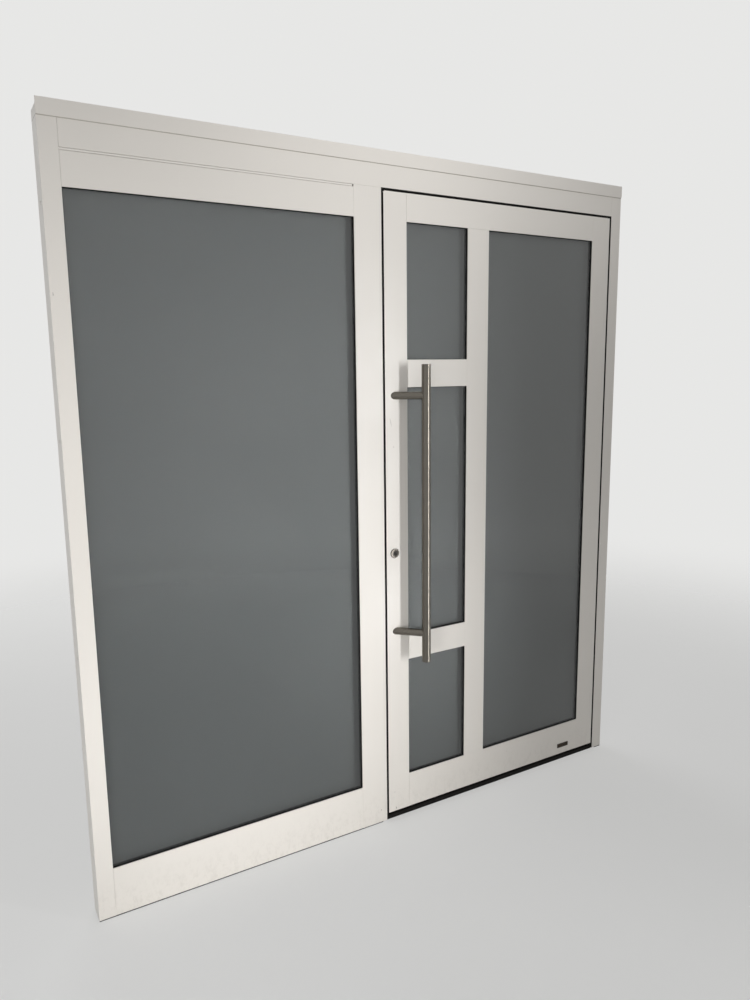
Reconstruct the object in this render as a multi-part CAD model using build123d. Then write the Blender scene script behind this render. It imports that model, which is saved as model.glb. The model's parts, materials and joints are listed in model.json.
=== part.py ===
from build123d import *
import math
import os

# Glass entrance door with a fixed side light, built from white aluminium sections.
# X runs along the wall, +X to the hinge side. -Y is the outer face, +Z is up.
# The origin is on the floor, under the middle of the mullion.
# A "depth" below is counted from the outer face of the frame, inwards.

# Section of the frame and of the leaf
DEPTH = 70.0
WALL = 2.0
FACE_ROUND = 0.8
FLANGE_W = 22.0
FLANGE_T = 2.5
LIP_W = 18.0
LIP_FRONT = 50.0
STOP_DEPTH = 47.0
LEAF_GAP = 7.0
LIP_GAP = 5.0
MEMBER_JOINT = 0.3

# Frame
JAMB_W = 48.0
MULLION_W = 97.5
SIDE_GLASS_W = 836.0
LEAF_W = 990.0
LEAF_H = 2099.0
FLOOR_GAP = 27.0
HEAD_W = 95.0
FLOOR_JOINT = 3.0
FLOOR_JOINT_INSET = 0.5
STRIP_H = 41.0
STRIP_T = 3.0
STRIP_LAP = 25.5
STRIP_ROUND = 0.6
STRIP_CORNER = 4.0
STRIP_UNDERCUT = 1.4
FIXING_HOLE_R = 5.25
FIXING_DEPTH = 26.0
FIXING_HEIGHTS = (200.0, 800.0, 1400.0, 2000.0)

# Leaf bars
STILE_W = 86.0
MID_STILE_W = 89.0
LEFT_PANE_W = 243.5
TOP_RAIL_W = 87.0
GLASS_BOTTOM = 154.0
TRANSOM_W = 90.0
LOWER_TRANSOM_Z = 628.0
UPPER_TRANSOM_Z = 1564.5
LEAF_CORNER_R = 9.0

# Joint over the side light
FILLER_REST = 0.6
FILLER_BEAD_H = 5.0
FILLER_BEAD_D = 5.4
FILLER_STEM_D = 24.0
FILLER_SHORT = 4.0

# Glazing
PANE_T = 6.0
PANE_SPACE = 16.0
GASKET_T = 4.0
GASKET_SHOWS = 1.5
GASKET_W = 9.5
GLASS_COVER = 16.0
SPACER_W = 13.0
SPACER_INSET = 0.5
BEAD_W = 20.0
BEAD_WALL = 1.6
BEAD_ROUND = 2.0

# Gaskets round the leaf, bottom brush and threshold
STOP_GASKET_W = 10.0
STOP_GASKET_INSET = 2.0
STOP_GASKET_NOSE = 0.9
FRONT_GASKET_W = 5.0
FRONT_GASKET_DEPTHS = (3.5, 9.5)
FRONT_GASKET_NOSE = 1.2
CORNER_GASKET_RUN = 42.0
CORNER_GASKET_DROP = 32.0
CORNER_GASKET_W = 6.0
CORNER_GASKET_INNER = 2.5
CORNER_GASKET_FRONT = 1.5
SOFT_CLEARANCE = 0.3
BRUSH_DEPTH = 9.0
BRUSH_HOLDER_W = 12.0
BRUSH_HOLDER_H = 5.0
BRUSH_W = 6.0
BRUSH_LIFT = 1.0
BRUSH_END_GAP = 2.0
THRESHOLD_H = 14.0
THRESHOLD_SET_BACK = 5.0
THRESHOLD_BEVEL = 2.5

# Pull bar
BAR_R = 15.0
BAR_WALL = 1.5
BAR_CENTRE_Z = 1094.0
BAR_FIXINGS = 800.0
BAR_OVERHANG = 100.0
BAR_OFFSET = 72.0
BAR_BACKSET = 39.5
POST_R = 12.5
POST_STUD_R = 4.0
POST_STUD_L = 20.0
STUD_CLEARANCE = 0.3
EDGE_BREAK = 0.6

# Lock
BACKSET = 32.0
LOCK_DEPTH = 25.0
CYLINDER_Z = 968.0
LEVER_ABOVE_CYLINDER = 92.0
CASE_T = 15.0
CASE_W = 55.0
CASE_WALL = 1.5
CASE_ABOVE_LEVER = 62.0
CASE_BELOW_CYLINDER = 60.0
FACEPLATE_W = 24.0
FACEPLATE_T = 3.0
FACEPLATE_OVER = 22.0
FIT = 0.2
RUN = 0.05
BOLT_T = 11.4
BOLT_H = 30.0
BOLT_L = 46.0
BOLT_ABOVE_CYLINDER = 37.0
LATCH_H = 20.0
LATCH_OUT = 12.0
LATCH_TAIL = 25.0
LATCH_ABOVE_LEVER = 31.0
LATCH_NOSE = 3.0
STRIKE_OVER = 12.0
STRIKE_ROOM = 1.5

# Lock cylinder
CYLINDER_R = 11.0
CYLINDER_PROUD = 3.0
STEM_W = 10.0
STEM_DROP = 15.0
PLUG_R = 7.0
CAM_R = 15.0
CAM_W = 9.0
CAM_NOSE_W = 7.0
CAM_SLOT = 10.0
KEYWAY_W = 2.4
KEYWAY_H = 8.6
KEYWAY_DEPTH = 6.0
RING_R = 16.5
RING_T = 3.6
RING_BEVEL = 1.2

# Lever on the inner side
HUB_R = 9.0
HUB_ARM_R = 17.0
HUB_ARM_W = 8.0
SPINDLE = 8.0
SPINDLE_REACH = 30.0
ROSETTE_R = 25.0
ROSETTE_T = 8.0
ROSETTE_BEVEL = 1.6
LEVER_R = 9.5
LEVER_STAND = 48.0
LEVER_LENGTH = 125.0
LEVER_BEND = 18.0
LEVER_BEVEL = 1.5

# Hinges on the inner side
HINGE_HEIGHTS = (("lower", 250.0), ("middle", 1075.0), ("upper", 1900.0))
HINGE_H = 120.0
KNUCKLE_R = 10.0
KNUCKLE_GAP = 0.3
HINGE_STAND = 12.0
LEAF_KNUCKLE_H = 58.0
PIN_R = 5.0
PIN_HEAD_R = 9.0
PIN_HEAD_T = 3.0
PLATE_T = 5.0
PLATE_EDGE = 13.0
LEAF_PLATE_W = 34.0
FRAME_PLATE_W = 19.0
PLATE_ROUND = 3.0

# Places worked out from the sizes above
FRONT = -DEPTH / 2
BACK = DEPTH / 2
MULLION_X = (-MULLION_W / 2, MULLION_W / 2)
SIDE_GLASS_X = (MULLION_X[0] - SIDE_GLASS_W, MULLION_X[0])
LEFT_JAMB_X = (SIDE_GLASS_X[0] - JAMB_W, SIDE_GLASS_X[0])
LEAF_X = (MULLION_X[1] + LEAF_GAP, MULLION_X[1] + LEAF_GAP + LEAF_W)
RIGHT_JAMB_X = (LEAF_X[1] + LEAF_GAP, LEAF_X[1] + LEAF_GAP + JAMB_W)
STOP_STEP = LIP_W + LIP_GAP - LEAF_GAP
LEAF_TOP = FLOOR_GAP + LEAF_H
HEAD_Z = (LEAF_TOP + LEAF_GAP, LEAF_TOP + LEAF_GAP + HEAD_W)
GLASS_TOP = LEAF_TOP - TOP_RAIL_W
LEFT_PANE_X = (LEAF_X[0] + STILE_W, LEAF_X[0] + STILE_W + LEFT_PANE_W)
MID_STILE_X = (LEFT_PANE_X[1], LEFT_PANE_X[1] + MID_STILE_W)
RIGHT_PANE_X = (MID_STILE_X[1], LEAF_X[1] - STILE_W)
LOWER_TRANSOM = (LOWER_TRANSOM_Z - TRANSOM_W / 2, LOWER_TRANSOM_Z + TRANSOM_W / 2)
UPPER_TRANSOM = (UPPER_TRANSOM_Z - TRANSOM_W / 2, UPPER_TRANSOM_Z + TRANSOM_W / 2)
GLASS_FACE = FLANGE_T + GASKET_T
INNER_PANE_FACE = GLASS_FACE + PANE_T + PANE_SPACE
INNER_GASKET_FACE = INNER_PANE_FACE + PANE_T
BEAD_FACE = INNER_GASKET_FACE + GASKET_T
LOCK_X = LEAF_X[0] + BACKSET
LEVER_Z = CYLINDER_Z + LEVER_ABOVE_CYLINDER
LATCH_Z = LEVER_Z + LATCH_ABOVE_LEVER
BOLT_Z = CYLINDER_Z + BOLT_ABOVE_CYLINDER
CASE_Z = (CYLINDER_Z - CASE_BELOW_CYLINDER, LEVER_Z + CASE_ABOVE_LEVER)
LOCK_Y = FRONT + LOCK_DEPTH
HINGE_X = LEAF_X[1] + LIP_W + LIP_GAP / 2
HINGE_Y = BACK + HINGE_STAND

os.makedirs("parts", exist_ok=True)


def keep(shape, node):
    """Write one node's solid, or its group of solids, to its own file."""
    solids = shape.solids()
    export_step(solids[0] if len(solids) == 1 else Compound(children=[*solids]), f"parts/{node}.step")


def middle(pair):
    """Halfway between two values."""
    return (pair[0] + pair[1]) / 2


def block(x, y, z):
    """A box between two x, two y and two z values."""
    size = (x[1] - x[0], y[1] - y[0], z[1] - z[0])
    return Pos(middle(x), middle(y), middle(z)) * Box(*size)


def shaft(radius, depth_0, depth_1, x, z):
    """A round bar along Y between two depths."""
    plane = Plane(origin=(x, FRONT + depth_0, z), x_dir=(1, 0, 0), z_dir=(0, 1, 0))
    return extrude(plane * Circle(radius), depth_1 - depth_0)


def standing_cylinder(x, y, z, radius, height):
    """A round bar that stands on its foot."""
    return Pos(x, y, z) * Cylinder(radius, height, align=(Align.CENTER, Align.CENTER, Align.MIN))


# Hollow sections: local x runs across the member's face, local y is the depth
def side_steps(kind):
    """How far a member's side stands out from its face edge, from each depth on."""
    if kind == "glass":
        return [(0, 0), (0, FLANGE_T), (-FLANGE_W, FLANGE_T), (-FLANGE_W, DEPTH)]
    if kind == "lip":
        return [(0, 0), (0, LIP_FRONT), (LIP_W, LIP_FRONT), (LIP_W, DEPTH)]
    if kind == "stop":
        return [(0, 0), (0, STOP_DEPTH), (-STOP_STEP, STOP_DEPTH), (-STOP_STEP, DEPTH)]
    return [(0, 0), (0, DEPTH)]


def outline(low, high, low_kind, high_kind):
    """The filled section of a member whose face runs from low to high."""
    points = [(low - out, depth + FRONT) for out, depth in side_steps(low_kind)]
    points += [(high + out, depth + FRONT) for out, depth in reversed(side_steps(high_kind))]
    return make_face(Polyline(*points, close=True))


def chamber(low, high, depth_0, depth_1):
    """One hollow chamber of a section."""
    centre = (middle((low, high)), FRONT + middle((depth_0, depth_1)))
    return Pos(*centre) * Rectangle(high - low, depth_1 - depth_0)


def hollow(low, high, low_kind, high_kind):
    """The extruded section: a rounded face, one web and two chambers."""
    face = outline(low, high, low_kind, high_kind)
    corners = face.vertices().group_by(Axis.Y)[0]
    face = fillet(corners, FACE_ROUND)
    web = (STOP_DEPTH - WALL, STOP_DEPTH) if "stop" in (low_kind, high_kind) else (LIP_FRONT, LIP_FRONT + WALL)
    front_out = {"glass": -FLANGE_W, "lip": 0, "stop": 0, "plain": 0}
    rear_out = {"glass": -FLANGE_W, "lip": LIP_W, "stop": -STOP_STEP, "plain": 0}
    front_room = chamber(low - front_out[low_kind] + WALL, high + front_out[high_kind] - WALL, WALL, web[0])
    rear_room = chamber(low - rear_out[low_kind] + WALL, high + rear_out[high_kind] - WALL, web[1], DEPTH - WALL)
    return face - front_room - rear_room


def upright(section, z_0, z_1):
    """A section extruded straight up."""
    return extrude(Pos(0, 0, z_0) * section, z_1 - z_0, dir=(0, 0, 1))


def rail(section, x_0, x_1):
    """A section laid along X, its local x turned to +Z."""
    plane = Plane(origin=(x_1, 0, 0), x_dir=(0, 0, 1), z_dir=(-1, 0, 0))
    return extrude(plane * section, x_1 - x_0)


def grown(pair, room):
    """A span with the same room added at both ends."""
    return (pair[0] - room, pair[1] + room)


def envelope(span, low_kind, high_kind):
    """The filled section of a member, with the fine joint that its neighbours keep from it."""
    return outline(*grown(span, MEMBER_JOINT), low_kind, high_kind)


# Envelopes that the butting members are coped to
frame_z = (FLOOR_JOINT, HEAD_Z[1])
left_jamb_body = upright(envelope(LEFT_JAMB_X, "plain", "glass"), *frame_z)
mullion_body = upright(envelope(MULLION_X, "glass", "stop"), *frame_z)
right_jamb_body = upright(envelope(RIGHT_JAMB_X, "stop", "plain"), *frame_z)
head_body = rail(envelope(HEAD_Z, "stop", "plain"), LEFT_JAMB_X[0], RIGHT_JAMB_X[1])
lock_stile_x = (LEAF_X[0], LEAF_X[0] + STILE_W)
hinge_stile_x = (LEAF_X[1] - STILE_W, LEAF_X[1])
leaf_z = (FLOOR_GAP, LEAF_TOP + LIP_W)
lock_stile_body = upright(envelope(lock_stile_x, "lip", "glass"), *leaf_z)
hinge_stile_body = upright(envelope(hinge_stile_x, "glass", "lip"), *leaf_z)
top_rail_z = (GLASS_TOP, LEAF_TOP)
bottom_rail_z = (FLOOR_GAP, GLASS_BOTTOM)
top_rail_body = rail(envelope(top_rail_z, "glass", "lip"), *LEAF_X)
bottom_rail_body = rail(envelope(bottom_rail_z, "plain", "glass"), *LEAF_X)
mid_stile_body = upright(envelope(MID_STILE_X, "glass", "glass"), FLOOR_GAP, LEAF_TOP)


# Frame members
def fixing_holes(x):
    """Holes through both walls of a jamb for the screws into the wall."""
    holes = []
    for height in FIXING_HEIGHTS:
        plane = Plane(origin=(x[0], FRONT + FIXING_DEPTH, height), x_dir=(0, 1, 0), z_dir=(1, 0, 0))
        holes.append(extrude(plane * Circle(FIXING_HOLE_R), x[1] - x[0]))
    return holes


left_jamb = upright(hollow(*LEFT_JAMB_X, "plain", "glass"), *frame_z)
left_jamb -= fixing_holes((LEFT_JAMB_X[0], LEFT_JAMB_X[1] - FLANGE_W))
right_jamb = upright(hollow(*RIGHT_JAMB_X, "stop", "plain"), *frame_z)
right_jamb -= fixing_holes(RIGHT_JAMB_X)
mullion = upright(hollow(*MULLION_X, "glass", "stop"), *frame_z) - head_body
head = rail(hollow(*HEAD_Z, "stop", "plain"), middle(LEFT_JAMB_X) - FLANGE_W / 2, middle(RIGHT_JAMB_X))
head = head - left_jamb_body - right_jamb_body

side_rail_x = (LEFT_JAMB_X[0] + WALL, middle(MULLION_X))
side_top_rail = rail(hollow(*top_rail_z, "glass", "lip"), *side_rail_x)
side_bottom_rail = rail(hollow(FLOOR_JOINT, GLASS_BOTTOM, "plain", "glass"), *side_rail_x)
side_top_rail = side_top_rail - left_jamb_body - mullion_body
side_bottom_rail = side_bottom_rail - left_jamb_body - mullion_body

keep(left_jamb, "left_jamb")
keep(right_jamb, "right_jamb")
keep(head, "head")
keep(side_top_rail, "side_top_rail")
keep(side_bottom_rail, "side_bottom_rail")

# Flat cover strip along the top of the frame
strip_z = (HEAD_Z[1] - STRIP_LAP, HEAD_Z[1] - STRIP_LAP + STRIP_H)
cover_strip = block((LEFT_JAMB_X[0], RIGHT_JAMB_X[1]), (FRONT - STRIP_T, FRONT), strip_z)
cover_strip = fillet(cover_strip.edges().filter_by(Axis.Y).group_by(Axis.Z)[0], STRIP_CORNER)
cover_strip = fillet(cover_strip.edges().group_by(Axis.Y)[0], STRIP_ROUND)
lower_back_edge = cover_strip.edges().filter_by(Axis.X).group_by(Axis.Y)[-1].sort_by(Axis.Z)[0]
keep(chamfer(lower_back_edge, STRIP_UNDERCUT), "cover_strip")

# Filler in the joint over the side light: a stem with a narrower bead in front, a little short of the mullion
filler_x = (SIDE_GLASS_X[0], SIDE_GLASS_X[1] - FILLER_SHORT)
filler_bead = block(filler_x, (FRONT + FILLER_REST, FRONT + FILLER_REST + FILLER_BEAD_D),
                    (LEAF_TOP + (LEAF_GAP - FILLER_BEAD_H) / 2, HEAD_Z[0] - (LEAF_GAP - FILLER_BEAD_H) / 2))
stem_y = FRONT + FILLER_REST + FILLER_BEAD_D
filler_stem = block(filler_x, (stem_y, stem_y + FILLER_STEM_D), (LEAF_TOP, HEAD_Z[0]))
keep(filler_bead + filler_stem, "joint_filler")

# Packers that lift the frame's feet off the floor, as a dark joint
packer_y = (FRONT + FLOOR_JOINT_INSET, BACK - FLOOR_JOINT_INSET)
long_packer = block((LEFT_JAMB_X[0] + FLOOR_JOINT_INSET, MULLION_X[1] - STOP_STEP - FLOOR_JOINT_INSET),
                    packer_y, (0, FLOOR_JOINT))
short_packer = block((RIGHT_JAMB_X[0] + STOP_STEP + FLOOR_JOINT_INSET, RIGHT_JAMB_X[1] - FLOOR_JOINT_INSET),
                     packer_y, (0, FLOOR_JOINT))
keep(long_packer, "floor_packer")
keep(short_packer, "floor_packer_hinge_side")

# Threshold on the floor under the leaf, from the mullion to the hinge jamb
threshold = block((MULLION_X[1] + MEMBER_JOINT, RIGHT_JAMB_X[0] - MEMBER_JOINT),
                  (FRONT + THRESHOLD_SET_BACK, BACK), (0, THRESHOLD_H))
threshold_edges = threshold.edges().filter_by(Axis.X).group_by(Axis.Z)[-1]
keep(chamfer(threshold_edges, THRESHOLD_BEVEL), "threshold")


def gasket_run(x, z_top, width, depths, nose, nose_side):
    """A gasket up one side of the door opening, across its top and down the other side, its nose bevelled."""
    y = (FRONT + depths[0], FRONT + depths[1])
    top = (z_top, z_top + width)
    run = block((x[0], x[0] + width), y, (THRESHOLD_H, top[1]))
    run += block((x[1] - width, x[1]), y, (THRESHOLD_H, top[1]))
    run += block(x, y, top)
    nose_edges = run.edges().group_by(Axis.Y)[nose_side].sort_by(SortBy.LENGTH)[2:]
    return chamfer(nose_edges, nose)


# Gaskets of the door opening: one that the leaf's lip shuts against, and one in the front of the gap
stop_x = (MULLION_X[1] - STOP_GASKET_INSET - STOP_GASKET_W, RIGHT_JAMB_X[0] + STOP_GASKET_INSET + STOP_GASKET_W)
stop_run = gasket_run(stop_x, HEAD_Z[0] + STOP_GASKET_INSET, STOP_GASKET_W,
                      (STOP_DEPTH, LIP_FRONT - SOFT_CLEARANCE), STOP_GASKET_NOSE, -1)
front_run = gasket_run((MULLION_X[1], RIGHT_JAMB_X[0]), HEAD_Z[0] - FRONT_GASKET_W, FRONT_GASKET_W,
                       FRONT_GASKET_DEPTHS, FRONT_GASKET_NOSE, 0)

# Moulded corners of the front gasket, which fill more of the gap, and the room by the leaf's rounded corner
corner_y = (FRONT + CORNER_GASKET_FRONT, FRONT + FRONT_GASKET_DEPTHS[1])
for corner_x, inwards in ((MULLION_X[1], 1), (RIGHT_JAMB_X[0], -1)):
    for across, drop in ((CORNER_GASKET_RUN, CORNER_GASKET_W), (CORNER_GASKET_W, CORNER_GASKET_DROP)):
        span = sorted((corner_x, corner_x + inwards * across))
        front_run += block(span, corner_y, (HEAD_Z[0] - drop, HEAD_Z[0]))
inner_room = CORNER_GASKET_W + CORNER_GASKET_INNER
front_run += block((MULLION_X[1], MULLION_X[1] + inner_room), corner_y, (HEAD_Z[0] - inner_room, HEAD_Z[0]))
keep(Compound(children=[stop_run, front_run]), "stop_gasket")


# Leaf members
lock_stile = upright(hollow(*lock_stile_x, "lip", "glass"), *leaf_z)
hinge_stile = upright(hollow(*hinge_stile_x, "glass", "lip"), *leaf_z)
above_leaf = block((LEAF_X[0] - LIP_W, LEAF_X[1] + LIP_W), (FRONT, FRONT + LIP_FRONT), (LEAF_TOP, leaf_z[1]))
corner_box = block((LEAF_X[0], LEAF_X[0] + LEAF_CORNER_R), (FRONT, FRONT + LIP_FRONT),
                   (LEAF_TOP - LEAF_CORNER_R, LEAF_TOP))
corner_round = shaft(LEAF_CORNER_R, 0, LIP_FRONT, LEAF_X[0] + LEAF_CORNER_R, LEAF_TOP - LEAF_CORNER_R)
lock_stile = lock_stile - above_leaf - (corner_box - corner_round)
hinge_stile = hinge_stile - above_leaf

across_leaf = (middle(lock_stile_x) - FLANGE_W / 2, middle(hinge_stile_x) + FLANGE_W / 2)
top_rail = rail(hollow(*top_rail_z, "glass", "lip"), *across_leaf)
bottom_rail = rail(hollow(*bottom_rail_z, "plain", "glass"), *across_leaf)
top_rail = top_rail - lock_stile_body - hinge_stile_body
bottom_rail = bottom_rail - lock_stile_body - hinge_stile_body
mid_stile = upright(hollow(*MID_STILE_X, "glass", "glass"), middle(bottom_rail_z), middle(top_rail_z))
mid_stile = mid_stile - top_rail_body - bottom_rail_body
keep(top_rail, "leaf_top_rail")
keep(bottom_rail, "leaf_bottom_rail")
keep(mid_stile, "leaf_mid_stile")
keep(hinge_stile, "leaf_hinge_stile")

for name, transom_z in (("lower", LOWER_TRANSOM), ("upper", UPPER_TRANSOM)):
    transom = rail(hollow(*transom_z, "glass", "glass"), middle(lock_stile_x) - FLANGE_W / 2, middle(MID_STILE_X))
    keep(transom - lock_stile_body - mid_stile_body, f"leaf_{name}_transom")

# Brush under the leaf: a holder with a curtain of bristles
brush_x = (LEAF_X[0] + BRUSH_END_GAP, LEAF_X[1] - BRUSH_END_GAP)
brush_middle = FRONT + BRUSH_DEPTH + BRUSH_HOLDER_W / 2
holder = block(brush_x, (brush_middle - BRUSH_HOLDER_W / 2, brush_middle + BRUSH_HOLDER_W / 2),
               (FLOOR_GAP - BRUSH_HOLDER_H, FLOOR_GAP))
curtain = block(brush_x, (brush_middle - BRUSH_W / 2, brush_middle + BRUSH_W / 2),
                (THRESHOLD_H + BRUSH_LIFT, FLOOR_GAP))
keep(holder + curtain, "bottom_brush")


# Glazing: two panes on a spacer, a gasket on each side, and four beads
def ring(x, z, out_1, out_0, depth_0, depth_1):
    """A square ring about a visible pane, between two offsets from its edge."""
    outer = block((x[0] - out_1, x[1] + out_1), (FRONT + depth_0, FRONT + depth_1), (z[0] - out_1, z[1] + out_1))
    inner = block((x[0] - out_0, x[1] + out_0), (FRONT + depth_0, FRONT + depth_1), (z[0] - out_0, z[1] + out_0))
    return outer - inner


def pane(x, z, depth):
    """One sheet of glass, under the flange all round."""
    return block((x[0] - GLASS_COVER, x[1] + GLASS_COVER), (FRONT + depth, FRONT + depth + PANE_T),
                 (z[0] - GLASS_COVER, z[1] + GLASS_COVER))


def bead_section(seat, towards):
    """A bead that opens to its seat, with a rounded edge to the glass."""
    edge = seat + towards * BEAD_W
    inner = seat + towards * (BEAD_W - BEAD_WALL)
    face = chamber(min(seat, edge), max(seat, edge), BEAD_FACE, DEPTH)
    outer_edge = face.vertices().sort_by(Axis.X)[-2:] if towards > 0 else face.vertices().sort_by(Axis.X)[:2]
    face = fillet(outer_edge.sort_by(Axis.Y)[-1:], BEAD_ROUND)
    return face - chamber(min(seat, inner), max(seat, inner), BEAD_FACE + BEAD_WALL, DEPTH - BEAD_WALL)


def beads(x, z):
    """Four beads round a pane: two across, two standing between them."""
    seat_x = (x[0] - FLANGE_W, x[1] + FLANGE_W)
    seat_z = (z[0] - FLANGE_W, z[1] + FLANGE_W)
    standing = (seat_z[0] + BEAD_W, seat_z[1] - BEAD_W)
    return [rail(bead_section(seat_z[0], 1), *seat_x), rail(bead_section(seat_z[1], -1), *seat_x),
            upright(bead_section(seat_x[0], 1), *standing), upright(bead_section(seat_x[1], -1), *standing)]


openings = {
    "side": (SIDE_GLASS_X, (GLASS_BOTTOM, GLASS_TOP)),
    "leaf_lower": (LEFT_PANE_X, (GLASS_BOTTOM, LOWER_TRANSOM[0])),
    "leaf_middle": (LEFT_PANE_X, (LOWER_TRANSOM[1], UPPER_TRANSOM[0])),
    "leaf_upper": (LEFT_PANE_X, (UPPER_TRANSOM[1], GLASS_TOP)),
    "leaf_tall": (RIGHT_PANE_X, (GLASS_BOTTOM, GLASS_TOP)),
}
bead_reveal = FLANGE_W - BEAD_W
spacer_out = GLASS_COVER - SPACER_INSET
spacers = {"side": [], "leaf": []}
outer_gaskets = {"side": [], "leaf": []}
inner_gaskets = {"side": [], "leaf": []}
bead_sets = {"side": [], "leaf": []}
for name, (x, z) in openings.items():
    keep(pane(x, z, GLASS_FACE), f"{name}_outer_pane")
    keep(pane(x, z, INNER_PANE_FACE), f"{name}_inner_pane")
    group = name.split("_")[0]
    spacers[group].append(ring(x, z, spacer_out, spacer_out - SPACER_W, GLASS_FACE + PANE_T, INNER_PANE_FACE))
    outer_gaskets[group].append(ring(x, z, GASKET_W - GASKET_SHOWS, -GASKET_SHOWS, FLANGE_T, GLASS_FACE))
    inner_out = bead_reveal + GASKET_W - GASKET_SHOWS
    inner_gaskets[group].append(ring(x, z, inner_out, inner_out - GASKET_W, INNER_GASKET_FACE, BEAD_FACE))
    bead_sets[group] += beads(x, z)
for group, plural in (("side", ""), ("leaf", "s")):
    keep(Compound(children=spacers[group]), f"{group}_spacer{plural}")
    keep(Compound(children=outer_gaskets[group]), f"{group}_outer_gasket{plural}")
    keep(Compound(children=inner_gaskets[group]), f"{group}_inner_gasket{plural}")
    keep(Compound(children=bead_sets[group]), f"{group}_glazing_beads")


# Pull bar on two slanted posts
foot_x = LEAF_X[0] + BAR_BACKSET
bar_x = foot_x + BAR_OFFSET
bar_y = FRONT - BAR_OFFSET
bar_length = BAR_FIXINGS + 2 * BAR_OVERHANG
bar_z = (BAR_CENTRE_Z - bar_length / 2, BAR_CENTRE_Z + bar_length / 2)
bar_outer = standing_cylinder(bar_x, bar_y, bar_z[0], BAR_R, bar_length)
bar_inner = standing_cylinder(bar_x, bar_y, bar_z[0] + BAR_WALL, BAR_R - BAR_WALL, bar_length - 2 * BAR_WALL)
end_rims = bar_outer.edges().filter_by(GeomType.CIRCLE)
keep(chamfer(end_rims, EDGE_BREAK) - bar_inner, "pull_bar")

post_reach = BAR_OFFSET * math.sqrt(2)
bar_room = standing_cylinder(bar_x, bar_y, bar_z[0], BAR_R + RUN, bar_length)
post_heights = {"lower": BAR_CENTRE_Z - BAR_FIXINGS / 2, "upper": BAR_CENTRE_Z + BAR_FIXINGS / 2}
behind_face = block((foot_x - BAR_OFFSET, foot_x + BAR_OFFSET), (FRONT, FRONT + BAR_OFFSET), (0, HEAD_Z[0]))
for name, height in post_heights.items():
    slant = Plane(origin=(foot_x, FRONT, height), x_dir=(0, 0, 1), z_dir=(1, -1, 0))
    post = extrude(slant * Circle(POST_R), post_reach) + extrude(slant * Circle(POST_R), -2 * POST_R)
    post = post - behind_face - bar_room
    post = post.solids().sort_by(Axis.Y)[-1]
    stud = shaft(POST_STUD_R, -WALL, POST_STUD_L, foot_x, height)
    keep(post + stud, f"pull_bar_{name}_post")
    lock_stile -= shaft(POST_STUD_R + STUD_CLEARANCE, 0, LIP_FRONT - WALL, foot_x, height)


# Lock cylinder: a round body with a stem, and the plug that turns the cam
def keyhole(room, depth_0, depth_1):
    """The outline of the lock cylinder with some room round it: a round with a straight stem under it."""
    half_w = STEM_W / 2 + room
    stem = block((LOCK_X - half_w, LOCK_X + half_w), (FRONT + depth_0, FRONT + depth_1),
                 (CYLINDER_Z - STEM_DROP - room, CYLINDER_Z))
    return shaft(CYLINDER_R + room, depth_0, depth_1, LOCK_X, CYLINDER_Z) + stem


proud = (-CYLINDER_PROUD, DEPTH + CYLINDER_PROUD)
cylinder_hole = keyhole(FIT, 0, DEPTH)
cylinder_body = keyhole(0, 0, DEPTH) + shaft(CYLINDER_R, *proud, LOCK_X, CYLINDER_Z)
cylinder_body -= shaft(PLUG_R + RUN, *proud, LOCK_X, CYLINDER_Z)
cylinder_body -= shaft(CAM_R + FIT, LOCK_DEPTH - CAM_SLOT / 2, LOCK_DEPTH + CAM_SLOT / 2, LOCK_X, CYLINDER_Z)
keep(cylinder_body, "lock_cylinder")

cam_depth = (LOCK_DEPTH - CAM_W / 2, LOCK_DEPTH + CAM_W / 2)
plug = shaft(PLUG_R, *proud, LOCK_X, CYLINDER_Z) + shaft(CYLINDER_R, *cam_depth, LOCK_X, CYLINDER_Z)
cam_nose = block((LOCK_X - CAM_NOSE_W / 2, LOCK_X + CAM_NOSE_W / 2), (FRONT + cam_depth[0], FRONT + cam_depth[1]),
                 (CYLINDER_Z - CAM_R, CYLINDER_Z))
plug += cam_nose & shaft(CAM_R, *cam_depth, LOCK_X, CYLINDER_Z)
keyway_x = (LOCK_X - KEYWAY_W / 2, LOCK_X + KEYWAY_W / 2)
keyway_z = (CYLINDER_Z - KEYWAY_H / 2, CYLINDER_Z + KEYWAY_H / 2)
plug -= block(keyway_x, (FRONT + proud[0], FRONT + proud[0] + KEYWAY_DEPTH), keyway_z)
plug -= block(keyway_x, (FRONT + proud[1] - KEYWAY_DEPTH, FRONT + proud[1]), keyway_z)
keep(plug, "cylinder_plug")

for name, depth_0, depth_1 in (("outer", -RING_T, 0), ("inner", DEPTH, DEPTH + RING_T)):
    disc = shaft(RING_R, depth_0, depth_1, LOCK_X, CYLINDER_Z)
    rims = disc.edges().filter_by(GeomType.CIRCLE).sort_by(Axis.Y)
    disc = chamfer(rims[:1] if name == "outer" else rims[-1:], RING_BEVEL)
    keep(disc - shaft(CYLINDER_R + FIT, depth_0, depth_1, LOCK_X, CYLINDER_Z), f"cylinder_{name}_ring")

# Lock case, open to its faceplate
half_t = CASE_T / 2
case_depth = (LOCK_DEPTH - half_t, LOCK_DEPTH + half_t)
case_x = (LEAF_X[0] + FACEPLATE_T, LEAF_X[0] + FACEPLATE_T + CASE_W)
case_y = (FRONT + case_depth[0], FRONT + case_depth[1])
lock_case = block(case_x, case_y, CASE_Z)
lock_case -= block((case_x[0], case_x[1] - CASE_WALL), (case_y[0] + CASE_WALL, case_y[1] - CASE_WALL),
                   (CASE_Z[0] + CASE_WALL, CASE_Z[1] - CASE_WALL))
lock_case -= keyhole(FIT, *case_depth)
lock_case -= shaft(HUB_R + RUN, *case_depth, LOCK_X, LEVER_Z)
keep(lock_case, "lock_case")

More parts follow.
